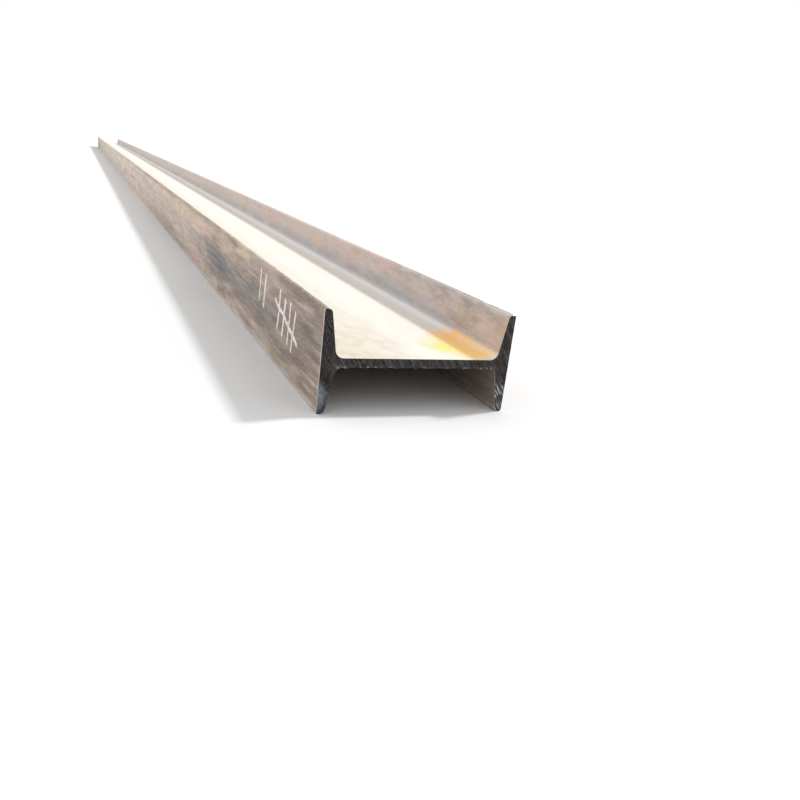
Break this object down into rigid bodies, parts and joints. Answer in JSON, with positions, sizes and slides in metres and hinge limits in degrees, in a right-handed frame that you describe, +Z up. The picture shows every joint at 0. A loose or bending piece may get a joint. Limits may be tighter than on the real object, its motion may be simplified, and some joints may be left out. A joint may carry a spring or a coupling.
{
  "type": "steel h-beam",
  "caption": "Hot-rolled steel beam with tapered flanges, a bar of stock sawn square at its ends, lying on the toes of its flanges with its web level.",
  "frame": {"origin": "on the floor, under the middle of the bar", "axes": "+Y along the bar, +X across the depth of the section from one flange to the other, +Z up, across the width of the flanges"},
  "size_m": [0.22, 9, 0.112],
  "materials": {
    "mill_scale_steel": "as-rolled mill scale with a thin bloom of rust, sawn ends bare"
  },
  "bodies": {
    "root": {"rolled_beam": "mill_scale_steel"}
  },
  "joints": []
}
